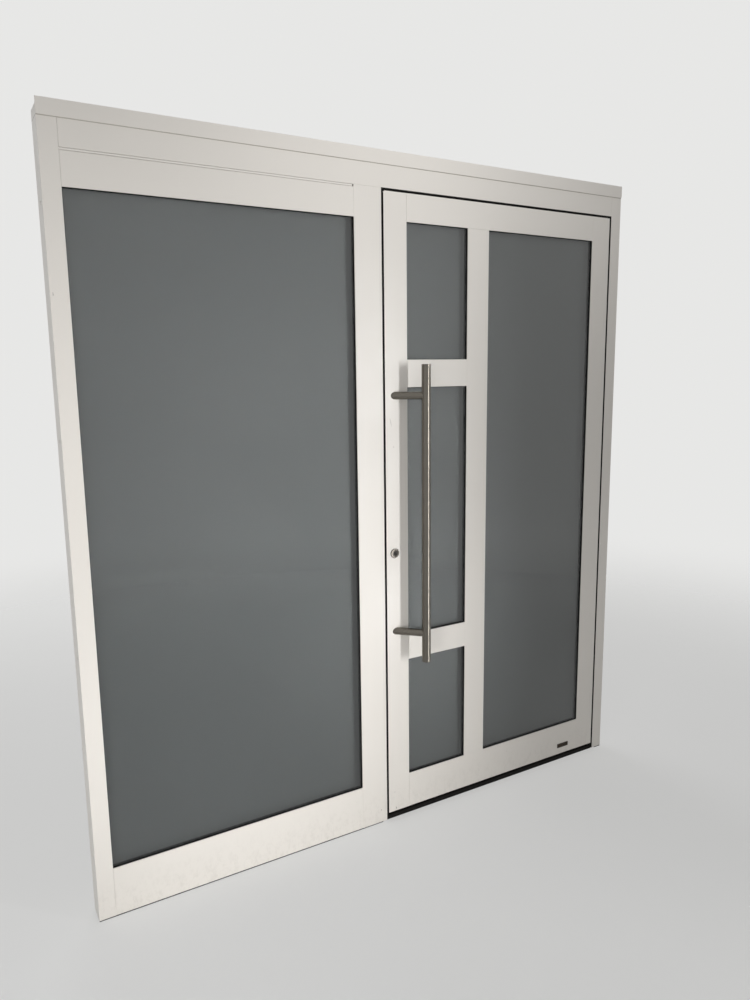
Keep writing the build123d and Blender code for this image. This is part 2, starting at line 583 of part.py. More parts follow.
faceplate_z = (CASE_Z[0] - FACEPLATE_OVER, CASE_Z[1] + FACEPLATE_OVER)
faceplate_y = (LOCK_Y - FACEPLATE_W / 2, LOCK_Y + FACEPLATE_W / 2)
faceplate_x = (LEAF_X[0], LEAF_X[0] + FACEPLATE_T)
bolt_y = (LOCK_Y - BOLT_T / 2, LOCK_Y + BOLT_T / 2)
bolt_z = (BOLT_Z - BOLT_H / 2, BOLT_Z + BOLT_H / 2)
latch_z = (LATCH_Z - LATCH_H / 2, LATCH_Z + LATCH_H / 2)


faceplate = block(faceplate_x, faceplate_y, faceplate_z)
faceplate -= block(faceplate_x, grown(bolt_y, FIT), grown(bolt_z, FIT))
faceplate -= block(faceplate_x, grown(bolt_y, FIT), grown(latch_z, FIT))
keep(faceplate, "lock_faceplate")

# Dead bolt and bevelled latch, both guided by the faceplate
keep(block((LEAF_X[0] + FIT, LEAF_X[0] + BOLT_L), bolt_y, bolt_z), "dead_bolt")
latch_points = [(LEAF_X[0] + LATCH_TAIL, bolt_y[0]), (LEAF_X[0] + LATCH_TAIL, bolt_y[1]),
                (LEAF_X[0] - LATCH_OUT, bolt_y[1]), (LEAF_X[0] - LATCH_OUT, bolt_y[1] - LATCH_NOSE),
                (LEAF_X[0] - FIT, bolt_y[0])]
keep(upright(make_face(Polyline(*latch_points, close=True)), *latch_z), "latch_bolt")

# Strike plate let into the mullion
strike_x = (MULLION_X[1] - FACEPLATE_T, MULLION_X[1])
strike_z = (bolt_z[0] - STRIKE_OVER, latch_z[1] + STRIKE_OVER)
strike = block(strike_x, faceplate_y, strike_z)
strike -= block(strike_x, grown(bolt_y, STRIKE_ROOM), grown(bolt_z, STRIKE_ROOM))
strike -= block(strike_x, grown(bolt_y, STRIKE_ROOM), grown(latch_z, STRIKE_ROOM))
keep(strike, "strike_plate")
mullion -= block((MULLION_X[1] - WALL - FACEPLATE_T, MULLION_X[1]), grown(faceplate_y, FIT), grown(strike_z, FIT))
keep(mullion, "mullion")

# Follower with its spindle, rosette and lever on the inner side
hub = shaft(HUB_R, *case_depth, LOCK_X, LEVER_Z)
hub += block((LOCK_X - HUB_ARM_W / 2, LOCK_X + HUB_ARM_W / 2), bolt_y, (LEVER_Z, LEVER_Z + HUB_ARM_R))
half_spindle = SPINDLE / 2
lever_stand_y = BACK + LEVER_STAND
hub += block((LOCK_X - half_spindle, LOCK_X + half_spindle), (LOCK_Y, BACK + SPINDLE_REACH),
             (LEVER_Z - half_spindle, LEVER_Z + half_spindle))
keep(hub, "lever_spindle")

rosette = shaft(ROSETTE_R, DEPTH, DEPTH + ROSETTE_T, LOCK_X, LEVER_Z)
rosette = chamfer(rosette.edges().filter_by(GeomType.CIRCLE).sort_by(Axis.Y)[-1:], ROSETTE_BEVEL)
keep(rosette - shaft(LEVER_R + RUN, DEPTH, DEPTH + ROSETTE_T, LOCK_X, LEVER_Z), "lever_rosette")

neck_y = BACK + SOFT_CLEARANCE
route = FilletPolyline((LOCK_X, neck_y, LEVER_Z), (LOCK_X, lever_stand_y, LEVER_Z),
                       (LOCK_X + LEVER_LENGTH, lever_stand_y, LEVER_Z), radius=LEVER_BEND)
lever_start = Plane(origin=(LOCK_X, neck_y, LEVER_Z), x_dir=(1, 0, 0), z_dir=(0, 1, 0))
lever = sweep(lever_start * Circle(LEVER_R), path=route)
lever_end = lever.edges().filter_by(GeomType.CIRCLE).sort_by(Axis.X)[-1:]
lever = chamfer(lever_end, LEVER_BEVEL)
lever -= block((LOCK_X - half_spindle - RUN, LOCK_X + half_spindle + RUN), (neck_y, BACK + SPINDLE_REACH + RUN),
               (LEVER_Z - half_spindle - RUN, LEVER_Z + half_spindle + RUN))
keep(lever, "lever_handle")

# Cut-outs of the lock stile
edge_wall = (LEAF_X[0], LEAF_X[0] + FACEPLATE_T)
lock_stile -= block(edge_wall, grown(faceplate_y, FIT), grown(faceplate_z, FIT))
lock_stile -= cylinder_hole
lock_stile -= shaft(LEVER_R + STUD_CLEARANCE, LIP_FRONT - WALL, DEPTH, LOCK_X, LEVER_Z)
keep(lock_stile, "leaf_lock_stile")

# Hinges: two knuckles on the frame, one on the leaf, and a pin through them
knuckle_z = LEAF_KNUCKLE_H / 2


def knuckle(centre_z, low, high):
    """A barrel round the hinge axis, bored later."""
    return standing_cylinder(HINGE_X, HINGE_Y, centre_z + low, KNUCKLE_R, high - low)


def plate(x, z, rounded):
    """A flat hinge plate on the inner face, its far corners rounded."""
    body = block(x, (BACK, BACK + PLATE_T), z)
    corners = body.edges().filter_by(Axis.Y).group_by(Axis.X)[rounded]
    return fillet(corners, PLATE_ROUND)


def bridge(x, z):
    """The web from a plate to its knuckle."""
    return block(x, (BACK, BACK + PLATE_T), z)


pins = []
for name, height in HINGE_HEIGHTS:
    half = HINGE_H / 2
    foot = height - half
    bore = standing_cylinder(HINGE_X, HINGE_Y, foot, PIN_R + RUN, HINGE_H)
    leaf_part = plate((HINGE_X - PLATE_EDGE - LEAF_PLATE_W, HINGE_X - PLATE_EDGE), (height - half, height + half), 0)
    leaf_part += bridge((HINGE_X - PLATE_EDGE, HINGE_X), (height - knuckle_z, height + knuckle_z))
    leaf_part += knuckle(height, -knuckle_z, knuckle_z)
    keep(leaf_part - bore, f"hinge_{name}_leaf_part")
    frame_part = plate((HINGE_X + PLATE_EDGE, HINGE_X + PLATE_EDGE + FRAME_PLATE_W),
                       (height - half, height + half), -1)
    for low, high in ((-half, -knuckle_z - KNUCKLE_GAP), (knuckle_z + KNUCKLE_GAP, half)):
        frame_part += bridge((HINGE_X, HINGE_X + PLATE_EDGE), (height + low, height + high))
        frame_part += knuckle(height, low, high)
    keep(frame_part - bore, f"hinge_{name}_frame_part")
    pin = standing_cylinder(HINGE_X, HINGE_Y, foot, PIN_R, HINGE_H)
    for cap_foot in (foot - PIN_HEAD_T, foot + HINGE_H):
        pin += standing_cylinder(HINGE_X, HINGE_Y, cap_foot, PIN_HEAD_R, PIN_HEAD_T)
    pins.append(pin)
keep(Compound(children=pins), "hinge_pins")
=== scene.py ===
# %% [markdown]
# # An aluminium entrance door with a side light
# The solids of the door come in first, as a fixed frame that is never moved. Everything after this cell
# only dresses them: finishes on the solids, and the small pieces that are easier to grow here than to model

# %% Bring in the door's solids
import json
import math

import bmesh
import bpy
from mathutils import Matrix, Vector


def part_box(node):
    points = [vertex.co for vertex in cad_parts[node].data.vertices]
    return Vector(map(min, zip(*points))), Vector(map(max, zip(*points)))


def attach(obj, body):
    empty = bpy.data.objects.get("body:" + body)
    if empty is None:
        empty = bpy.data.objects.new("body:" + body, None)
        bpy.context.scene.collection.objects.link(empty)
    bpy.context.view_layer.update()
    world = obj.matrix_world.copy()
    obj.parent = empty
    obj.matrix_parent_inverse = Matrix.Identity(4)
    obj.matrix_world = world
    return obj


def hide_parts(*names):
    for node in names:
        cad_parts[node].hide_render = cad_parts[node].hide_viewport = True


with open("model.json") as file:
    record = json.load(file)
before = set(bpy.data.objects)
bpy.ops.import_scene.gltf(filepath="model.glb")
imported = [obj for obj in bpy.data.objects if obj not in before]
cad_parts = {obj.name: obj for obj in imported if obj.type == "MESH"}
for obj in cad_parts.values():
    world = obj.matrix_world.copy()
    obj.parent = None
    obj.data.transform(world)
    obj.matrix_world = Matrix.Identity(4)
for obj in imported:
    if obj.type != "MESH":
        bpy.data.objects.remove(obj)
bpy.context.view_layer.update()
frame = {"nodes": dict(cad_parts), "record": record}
nodes = frame["nodes"]

# %% [markdown]
# ## Where the picture is taken from
# The camera stands on the left of the door, a little above the lever, and looks slightly down to the right.
# It could be aimed by eye, but then every edge would be some pixels off. Its place and its three directions
# were solved from the door's straight edges instead. A camera looks along its own -Z, so the matrix takes
# the right, the up and the backward direction as its columns.

# %% Camera
EYE = Vector((-1.23953, -2.17473, 1.57379))
AHEAD = Vector((0.49832163, 0.85099697, -0.16577007))
RIGHTWARDS = Vector((0.86186114, -0.50700436, -0.01191487))
FOCAL_PIXELS = 767.23
IMAGE_HEIGHT_PIXELS = 1000
SENSOR_MM = 36.0

camera_data = bpy.data.cameras.new("eye")
camera_data.sensor_width = SENSOR_MM
camera_data.lens = FOCAL_PIXELS * SENSOR_MM / IMAGE_HEIGHT_PIXELS
camera = bpy.data.objects.new("eye", camera_data)
upwards = RIGHTWARDS.cross(AHEAD)
turn = Matrix((RIGHTWARDS, upwards, -AHEAD)).transposed()
camera.matrix_world = Matrix.Translation(EYE) @ turn.to_4x4()
bpy.context.scene.collection.objects.link(camera)
bpy.context.scene.camera = camera
bpy.context.scene.view_settings.view_transform = "Standard"
print("lens", round(camera_data.lens, 2), "mm")

# %% [markdown]
# ## One way to write node trees
# Every finish below is a small tree of nodes. Drawn by hand it couldn't be made again the same way, and
# "new node, set, link" for each node would bury the idea. So one helper makes a node, sets its options and
# fills its sockets: a number goes in as a number, and another node's output is linked. The same helper
# serves materials, the background and Geometry Nodes. The short ones after it each stand for one step of a
# recipe.

# %% Helpers for node trees
def add(tree, kind, sockets=None, **options):
    """One node of a tree, with its options set and its sockets filled or linked."""
    node = tree.nodes.new(kind)
    for name, value in options.items():
        setattr(node, name, value)
    for name, value in (sockets or {}).items():
        if isinstance(value, bpy.types.NodeSocket):
            tree.links.new(value, node.inputs[name])
        else:
            node.inputs[name].default_value = value
    return node


def where(tree, stretch=(1, 1, 1)):
    """The place on the piece, in metres, stretched or squeezed along its axes."""
    here = add(tree, "ShaderNodeTexCoord").outputs["Object"]
    return add(tree, "ShaderNodeMapping", {"Vector": here, "Scale": stretch}).outputs["Vector"]


def noise(tree, vector, scale, detail=2.0, roughness=0.5):
    """A cloudy value from 0 to 1."""
    return add(tree, "ShaderNodeTexNoise", {"Vector": vector, "Scale": scale, "Detail": detail,
                                            "Roughness": roughness}).outputs["Fac"]


def fit(tree, value, low, high, to_low=0.0, to_high=1.0):
    """A value moved from one span to another, and kept within it."""
    return add(tree, "ShaderNodeMapRange", {"Value": value, "From Min": low, "From Max": high,
                                            "To Min": to_low, "To Max": to_high}).outputs["Result"]


def maths(tree, operation, first, second=0.0, third=0.0):
    """Two or three numbers worked into one."""
    return add(tree, "ShaderNodeMath", {0: first, 1: second, 2: third}, operation=operation).outputs[0]


def between(tree, share, first, second):
    """A colour between two colours."""
    node = add(tree, "ShaderNodeMix", {0: share, 6: first, 7: second}, data_type="RGBA")
    return node.outputs[2]


def relief(tree, height, depth, strength=1.0):
    """The tilt that small ups and downs of the surface give to the light."""
    return add(tree, "ShaderNodeBump", {"Height": height, "Distance": depth,
                                        "Strength": strength}).outputs["Normal"]


print("recipe steps ready")

# %% [markdown]
# ## Starting and ending a finish
# A finish starts as an empty material with its main shader, the Principled BSDF. What is the same all over
# the piece is set on the shader's own sockets, and what changes from place to place is fed in by links.

# %% Helpers for finishes
def finish_of(name, **constants):
    """An empty finish: its material, its tree and its main shader."""
    material = bpy.data.materials.new(name)
    material.use_nodes = True
    tree = material.node_tree
    shader = next(n for n in tree.nodes if n.type == "BSDF_PRINCIPLED")
    for socket, value in constants.items():
        shader.inputs[socket.replace("_", " ")].default_value = value
    return material, tree, shader


def feed(tree, shader, **values):
    """Links what changes from place to place to the shader's sockets."""
    for socket, value in values.items():
        tree.links.new(value, shader.inputs[socket.replace("_", " ")])


def end_in(tree, surface, kind="OUTPUT_MATERIAL"):
    """Makes a shader the one that the tree ends in."""
    output = next(n for n in tree.nodes if n.type == kind)
    tree.links.new(surface, output.inputs["Surface"])


def colour(red, green, blue):
    """A colour that hides what is behind it."""
    return (red, green, blue, 1.0)


def darker(tone, share):
    """The same colour with a share of its light."""
    return colour(*(share * c for c in tone[:3]))


print("finish helpers ready")

# %% [markdown]
# ## A pale floor
# A studio floor shows no line at its far end. A backdrop that curves up would hide that line, but it would
# stand in the way of the other views. A large flat disc that fades to nothing far away shows none from any
# side. Where it is looked at, it is half lit and half glowing: it stays pale under weak lamps, and the door's
# shadow still falls on it.

# %% Floor
FLOOR_RADIUS = 14.0
FADE_FROM = 1.4
FADE_TO = 5.5
PALE = colour(0.80, 0.80, 0.79)
GLOW_SHARE = 0.5


def looking(tree):
    """1 for what is looked at, straight on, in a mirror or through glass; 0 for the light itself."""
    path = add(tree, "ShaderNodeLightPath").outputs
    straight_or_mirrored = maths(tree, "MAXIMUM", path["Is Camera Ray"], path["Is Glossy Ray"])
    return maths(tree, "MAXIMUM", straight_or_mirrored, path["Is Transmission Ray"])


disc = bmesh.new()
bmesh.ops.create_circle(disc, cap_ends=True, segments=96, radius=FLOOR_RADIUS)
floor_mesh = bpy.data.meshes.new("floor")
disc.to_mesh(floor_mesh)
disc.free()
floor = bpy.data.objects.new("floor", floor_mesh)
bpy.context.scene.collection.objects.link(floor)

floor_finish, tree, shader = finish_of("pale_floor", Roughness=0.75)
soft_mottle = noise(tree, where(tree), 3.0, 4.0)
pale_paint = between(tree, soft_mottle, colour(0.79, 0.79, 0.785), colour(0.83, 0.83, 0.825))
feed(tree, shader, Base_Color=pale_paint)
reach = add(tree, "ShaderNodeVectorMath", {0: where(tree)}, operation="LENGTH").outputs["Value"]
fade = add(tree, "ShaderNodeMapRange", {"Value": reach, "From Min": FADE_FROM, "From Max": FADE_TO},
           interpolation_type="SMOOTHERSTEP").outputs["Result"]
looked_at = maths(tree, "MULTIPLY", looking(tree), GLOW_SHARE)
glow = add(tree, "ShaderNodeEmission", {"Color": PALE, "Strength": 1.0})
lit = add(tree, "ShaderNodeMixShader", {0: looked_at, 1: shader.outputs[0], 2: glow.outputs[0]})
clear = add(tree, "ShaderNodeBsdfTransparent")
mixed = add(tree, "ShaderNodeMixShader", {0: fade, 1: lit.outputs[0], 2: clear.outputs[0]})
end_in(tree, mixed.outputs[0])
floor_mesh.materials.append(floor_finish)
print("floor radius", FLOOR_RADIUS, "m")

# %% [markdown]
# ## The background
# Light comes to a door from everywhere. A picture of a room would give that, with all its shapes in the
# panes. One even tone gives it without them. It is pale where it is looked at, but it lights the door much
# less than that, which keeps the white paint below clipping. The Light Path node tells the two apart.

# %% Background
FILL_STRENGTH = 0.31

world = bpy.data.worlds.new("studio")
world.use_nodes = True
bpy.context.scene.world = world
tree = world.node_tree
lighting = next(n for n in tree.nodes if n.type == "BACKGROUND")
lighting.inputs["Color"].default_value = colour(1.0, 1.0, 1.0)
lighting.inputs["Strength"].default_value = FILL_STRENGTH
shown = add(tree, "ShaderNodeBackground", {"Color": PALE, "Strength": 1.0})
mixed = add(tree, "ShaderNodeMixShader", {0: looking(tree), 1: lighting.outputs[0], 2: shown.outputs[0]})
end_in(tree, mixed.outputs[0], "OUTPUT_WORLD")
print("fill", FILL_STRENGTH)

# %% [markdown]
# ## Six soft lamps
# An area lamp is a glowing sheet: the wider it is, the softer its shadows. A narrow tall one on the right
# gives the pull bar its soft shadow and its bright line. Two on the left fill the rest, one of them low
# down for the bottom rails, a small one high up lifts the head, and a wide one behind lights the inner
# side. The panes are mirrors, and any lamp that shows in them is a white patch. So the lamps on the left
# and above are hidden from mirrors and from what is seen through glass. The tall lamp needn't be: seen from
# the camera, it is mirrored in the white sections between the large panes. The low lamp on the right is the
# other way round. It shows only in mirrors, so it carries the bright line down to the bar's lower end and
# lights nothing.

# %% Lamps
LAMPS = {
    "tall_lamp_right": {"at": (1.56, -2.6, 1.1), "to": (-0.6, 0.0, 1.0), "size": (0.16, 2.0),
                        "watts": 5.4, "fan_degrees": 45, "mirrored": True},
    "wide_lamp_left": {"at": (-2.1, -2.2, 1.2), "to": (-0.8, 0.0, 0.9), "size": (1.4, 1.6),
                       "watts": 8.5, "fan_degrees": 110, "mirrored": False},
    "low_lamp_left": {"at": (-1.9, -1.6, 0.45), "to": (-0.1, 0.0, 0.4), "size": (0.5, 0.5),
                      "watts": 1.0, "fan_degrees": 45, "mirrored": False},
    "high_lamp_front": {"at": (-0.3, -2.4, 3.1), "to": (0.35, 0.0, 2.65), "size": (0.5, 0.4),
                        "watts": 2.5, "fan_degrees": 50, "mirrored": False},
    "wide_lamp_behind": {"at": (0.4, 3.4, 2.4), "to": (0.0, 0.0, 1.1), "size": (2.2, 2.2),
                         "watts": 36.0, "fan_degrees": 180, "mirrored": False, "through_glass": True},
    "low_lamp_right": {"at": (1.0, -1.6, 0.22), "to": (0.17, -0.09, 0.7), "size": (0.12, 0.38),
                       "watts": 0.36, "fan_degrees": 45, "mirrored": True, "only_mirrored": True},
}

for name, lamp in LAMPS.items():
    data = bpy.data.lights.new(name, "AREA")
    data.shape = "RECTANGLE"
    data.size, data.size_y = lamp["size"]
    data.energy = lamp["watts"]
    data.spread = math.radians(lamp["fan_degrees"])
    holder = bpy.data.objects.new(name, data)
    direction = Vector(lamp["to"]) - Vector(lamp["at"])
    holder.location = lamp["at"]
    holder.rotation_euler = direction.to_track_quat("-Z", "Y").to_euler()
    holder.visible_glossy = lamp["mirrored"]
    holder.visible_transmission = lamp["mirrored"] or lamp.get("through_glass", False)
    holder.visible_diffuse = not lamp.get("only_mirrored", False)
    bpy.context.scene.collection.objects.link(holder)
print(len(LAMPS), "lamps")

# %% [markdown]
# ## Specks and scuffs
# White paint shows every mark: a few dark specks, and short rubbed strokes where keys, hands and feet come.
# They could be painted on a picture, but that needs an unwrapped surface and blurs up close. Here both come
# from the place on the piece. Specks are dots in some of the cells of a Voronoi pattern. A scuff is drawn
# from the distance to a short line on the outer face, made ragged with noise.

# %% Specks and scuffs
OUTER_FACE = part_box("leaf_lock_stile")[0].y
# where each scuff starts and ends (x and z), its width and how dark it is
SCUFFS = (((0.0738, 1.419), (0.0765, 1.408), 0.0022, 0.28),
          ((0.0765, 1.408), (0.0793, 1.396), 0.0024, 0.34),
          ((0.0871, 1.3275), (0.0871, 1.3255), 0.0030, 0.42),
          ((0.0862, 0.0405), (0.0872, 0.0340), 0.0028, 0.75),
          ((0.0812, 0.1000), (0.0812, 0.0985), 0.0024, 0.45),
          ((0.0247, 0.0490), (0.0249, 0.0470), 0.0028, 0.60),
          ((-0.9250, 1.7790), (-0.9244, 1.7730), 0.0024, 0.45))


def specks(tree, cell, size, share):
    """Small dots: 1 inside a dot, 0 elsewhere. Only a share of the cells has one."""
    cells = add(tree, "ShaderNodeTexVoronoi", {"Vector": where(tree), "Scale": 1 / cell, "Randomness": 1.0})
    dot = fit(tree, cells.outputs["Distance"], size / cell, 0.5 * size / cell)
    pick = add(tree, "ShaderNodeSeparateColor", {"Color": cells.outputs["Color"]}).outputs["Red"]
    chosen = maths(tree, "LESS_THAN", pick, share)
    return maths(tree, "MULTIPLY", dot, chosen)


def scuff(tree, start, end, width, share):
    """A short rubbed stroke on the outer face, from one point to another, given as x and z."""
    first = Vector((start[0], OUTER_FACE, start[1]))
    stroke = Vector((end[0], OUTER_FACE, end[1])) - first
    way = stroke.normalized()
    away = add(tree, "ShaderNodeVectorMath", {0: where(tree), 1: first}, operation="SUBTRACT").outputs[0]
    ahead = add(tree, "ShaderNodeVectorMath", {0: away, 1: way}, operation="DOT_PRODUCT").outputs["Value"]
    reached = fit(tree, ahead, 0.0, stroke.length, 0.0, stroke.length)
    nearest = add(tree, "ShaderNodeVectorMath", {0: way, "Scale": reached}, operation="SCALE").outputs[0]
    off = add(tree, "ShaderNodeVectorMath", {0: away, 1: nearest}, operation="DISTANCE").outputs["Value"]
    frayed = fit(tree, noise(tree, where(tree), 900.0), 0.3, 0.7, 0.0, width)
    ragged = maths(tree, "ADD", off, frayed)
    return maths(tree, "MULTIPLY", fit(tree, ragged, 1.3 * width, 0.5 * width), share)


print(len(SCUFFS), "scuffs on the face at y", round(OUTER_FACE, 4))

# %% [markdown]
# ## Painted shade in the gap and painted shadow under the strip
# The narrow faces that look into the gap round the leaf get no light, and the gap is a black line: here it is
# painted shade, a near-black colour on these faces. A thinner painted shadow runs where the cover strip lies
# on the head. These faces could get a finish of their own, but a solid keeps one finish all over. So the
# white coat itself asks where it is, and turns dark in a thin layer behind the outer face, near the line of
# the gap. The line is measured on the front of the two stiles, because their lips reach further out behind
# it.

# %% Painted shade in the gap and painted shadow under the strip
GAP = 0.007
FRONT_DEPTH = 0.0015
EDGE_ROUND = 0.0006
# the painted shade's layer: how far its middle lies behind the outer face, and half its thickness
SHADE_LAYER_MIDDLE = 0.005
SHADE_LAYER_HALF = 0.0055
# the strip's painted shadow line: below the strip's edge, half its height, how far it reaches forward, and
# how dark it is
STRIP_LINE_DROP = 0.0004
STRIP_LINE_HALF = 0.0014
STRIP_LINE_FRONT = 0.002
STRIP_LINE_SHARE = 0.7


def front_corners(node):
    """The corners of a solid's front only: lips that lie further in are left out."""
    front = [v.co for v in nodes[node].data.vertices if v.co.y < OUTER_FACE + FRONT_DEPTH]
    return [[pick(co[axis] for co in front) for axis in range(3)] for pick in (min, max)]


leaf_left, _, _ = front_corners("leaf_lock_stile")[0]
leaf_right, _, leaf_top = front_corners("leaf_hinge_stile")[1]
gap_middle_x = (leaf_left + leaf_right) / 2
gap_half_run = (leaf_right - leaf_left + GAP) / 2
gap_top = leaf_top + GAP / 2
gap_reach = GAP / 2 + EDGE_ROUND
strip_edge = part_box("cover_strip")[0].z - STRIP_LINE_DROP


def gap_painted_shade(tree):
    """Painted shade: 1 on the narrow faces that look into the gap round the leaf, and on their rounded front
    edge.
    """
    place = add(tree, "ShaderNodeSeparateXYZ", {"Vector": where(tree)}).outputs
    behind = maths(tree, "COMPARE", place["Y"], OUTER_FACE + SHADE_LAYER_MIDDLE, SHADE_LAYER_HALF)
    across = maths(tree, "ABSOLUTE", maths(tree, "SUBTRACT", place["X"], gap_middle_x))
    upright = maths(tree, "LESS_THAN", place["Z"], gap_top + gap_reach)
    level = maths(tree, "LESS_THAN", across, gap_half_run + gap_reach)
    beside = maths(tree, "MULTIPLY", maths(tree, "COMPARE", across, gap_half_run, gap_reach), upright)
    above = maths(tree, "MULTIPLY", maths(tree, "COMPARE", place["Z"], gap_top, gap_reach), level)
    return maths(tree, "MULTIPLY", behind, maths(tree, "MAXIMUM", beside, above))


def strip_painted_shadow(tree):
    """A share of painted shadow along the edge where the cover strip lies on the head."""
    place = add(tree, "ShaderNodeSeparateXYZ", {"Vector": where(tree)}).outputs
    edge = maths(tree, "COMPARE", place["Z"], strip_edge, STRIP_LINE_HALF)
    behind = maths(tree, "GREATER_THAN", place["Y"], OUTER_FACE - STRIP_LINE_FRONT)
    return maths(tree, "MULTIPLY", maths(tree, "MULTIPLY", edge, behind), STRIP_LINE_SHARE)


print("leaf front", round(leaf_left, 5), round(leaf_right, 5), round(leaf_top, 5))

# %% [markdown]
# ## White powder coat
# The sections are coated with a satin white powder that melts into a faint orange peel. Up close it isn't
# one white: it varies by a percent or two, and it has a grey film near the floor, where mops and shoes
# reach. One white with one roughness would look like new plastic. So the colour is built up in layers, each
# mixed in where it belongs: a random shade, film, specks, scuffs, and last a painted shade in the gap and a
# painted shadow under the strip. The peel is a bump from fine noise. The coat mirrors less than real paint
# does, because everything round it here is pale.

# %% White powder coat
WHITE = colour(0.85, 0.812, 0.757)
# the grey film near the floor, and also the tone of the painted shadow under the cover strip
GREY_FILM_AND_SHADOW = colour(0.43, 0.40, 0.35)
SPECK_TONE = colour(0.16, 0.14, 0.12)
SCUFF_TONE = colour(0.17, 0.15, 0.13)
# painted shade: a near-black tone laid on the faces in the gap round the leaf
GAP_SHADE_TONE = colour(0.012, 0.011, 0.010)
FILM_TOP = 0.14
FILM_SHARE = 0.34
SPECK_CELL = 0.055
SPECK_SIZE = 0.0011
SPECK_CHANCE = 0.16
SPECK_SHARE = 0.75
PEEL_DEPTH = 0.00004


def powder_coat(name, white, film_and_shadow_tone):
    """Satin white coat with peel, floor film, specks, scuffs, and painted shade in the gap and under the
    strip.
    """
    material, tree, shader = finish_of(name, Specular_IOR_Level=0.25)
    shade = fit(tree, noise(tree, where(tree), 2.3, 5.0), 0.3, 0.7)
    base = between(tree, shade, white, darker(white, 0.975))
    height = add(tree, "ShaderNodeSeparateXYZ", {"Vector": where(tree)}).outputs["Z"]
    low = fit(tree, height, FILM_TOP, 0.0)
    patchy = fit(tree, noise(tree, where(tree, (1, 1, 0.6)), 70.0, 6.0, 0.7), 0.48, 0.8)
    grime = maths(tree, "MULTIPLY", maths(tree, "MULTIPLY", low, patchy), FILM_SHARE)
    base = between(tree, grime, base, film_and_shadow_tone)
    dots = maths(tree, "MULTIPLY", specks(tree, SPECK_CELL, SPECK_SIZE, SPECK_CHANCE), SPECK_SHARE)
    base = between(tree, dots, base, SPECK_TONE)
    for stroke in SCUFFS:
        base = between(tree, scuff(tree, *stroke), base, SCUFF_TONE)
    # painted shade in the gap round the leaf, in place of the light it doesn't get
    base = between(tree, gap_painted_shade(tree), base, GAP_SHADE_TONE)
    # painted shadow under the cover strip, in the film's grey
    base = between(tree, strip_painted_shadow(tree), base, film_and_shadow_tone)
    gloss = fit(tree, noise(tree, where(tree), 9.0, 5.0, 0.6), 0.25, 0.75, 0.27, 0.37)
    peel = relief(tree, noise(tree, where(tree), 620.0, 2.0), PEEL_DEPTH, 0.5)
    feed(tree, shader, Base_Color=base, Roughness=gloss, Normal=peel)
    return material


white_paint = powder_coat("white_powder_coat", WHITE, GREY_FILM_AND_SHADOW)
print("made", white_paint.name)

# %% [markdown]
# ## Sealing strip, rubber and plastic
# The strip over the side light is a matt plastic, a shade greyer than the paint. The gaskets are black
# rubber that carries a little pale dust, and the spacers between the panes are a dull black foam. Brush and
# threshold are as black as the gaskets, and lie in shadow. All of them are one idea with other numbers: a
# dull body colour, dust in patches and a fine grain. So one function makes them all.

# %% Matt plastics and rubber
def dusty(name, body, dust_share, roughness, grain_size, grain_depth, gloss_level=0.5):
    """A dull body colour with dust lying on it in patches, and a fine grain."""
    material, tree, shader = finish_of(name, Specular_IOR_Level=gloss_level)
    patches = fit(tree, noise(tree, where(tree), 30.0, 6.0, 0.7), 0.45, 0.8)
    dusted = between(tree, maths(tree, "MULTIPLY", patches, dust_share), body, DUST)
    dull = fit(tree, noise(tree, where(tree), 60.0, 4.0), 0.2, 0.8, roughness - 0.08, roughness + 0.08)
    grain = relief(tree, noise(tree, where(tree), 1 / grain_size, 3.0), grain_depth, 0.6)
    feed(tree, shader, Base_Color=dusted, Roughness=dull, Normal=grain)
    return material


DUST = colour(0.36, 0.34, 0.31)
white_filler = dusty("white_strip", colour(0.85, 0.815, 0.76), 0.06, 0.6, 0.002, 0.00005)
white_cap = dusty("white_cap", colour(0.82, 0.82, 0.80), 0.08, 0.42, 0.0015, 0.00003)
black_seal = dusty("black_rubber", colour(0.007, 0.007, 0.006), 0.02, 0.8, 0.0012, 0.00006, 0.2)
black_spacer = dusty("black_spacer_foam", colour(0.022, 0.022, 0.023), 0.04, 0.8, 0.0008, 0.00005)
black_brush = dusty("black_bristle", colour(0.006, 0.0055, 0.005), 0.03, 0.85, 0.0008, 0.00005, 0.15)
black_threshold = dusty("black_threshold", colour(0.008, 0.007, 0.0065), 0.03, 0.8, 0.0016, 0.00006, 0.15)
print("made six plastics")

# %% [markdown]
# ## Ground stainless steel
# The pull bar is ground round its axis. Its fine grooves run across it and stretch every highlight along
# it, and that makes the one thin bright line. Grooves modelled as shape would be thousands of rings. Here
# the shader's anisotropy does the stretching, and a noise that changes fast along the axis and slowly
# across it draws the grooves. Metal is as dark as what it mirrors, and this studio is pale. So the bar, its
# posts and the lock cylinder get darker tones than bare metal has, and look as they do in a darker place.

# %% Stainless steel
def ground_steel(name, tone, axis, roughness, stretch_share, unevenness):
    """Stainless steel ground across an axis, "X", "Y" or "Z"."""
    material, tree, shader = finish_of(name, Metallic=1.0, Anisotropic=stretch_share,
                                       Anisotropic_Rotation=0.25)
    squeeze = tuple(1.0 if letter == axis else 0.02 for letter in "XYZ")
    grooves = noise(tree, where(tree, squeeze), 2600.0, 3.0, 0.6)
    clouds = noise(tree, where(tree), 14.0, 4.0)
    shade = maths(tree, "MULTIPLY", maths(tree, "ADD", grooves, clouds), 0.5)
    shaded = between(tree, fit(tree, shade, 0.35, 0.65), darker(tone, 0.86), tone)
    rough = fit(tree, clouds, 0.25, 0.75, roughness - unevenness, roughness + unevenness)
    around = add(tree, "ShaderNodeTangent", direction_type="RADIAL", axis=axis).outputs["Tangent"]
    feed(tree, shader, Base_Color=shaded, Roughness=rough, Normal=relief(tree, grooves, 0.00001, 0.2),
         Tangent=around)
    return material
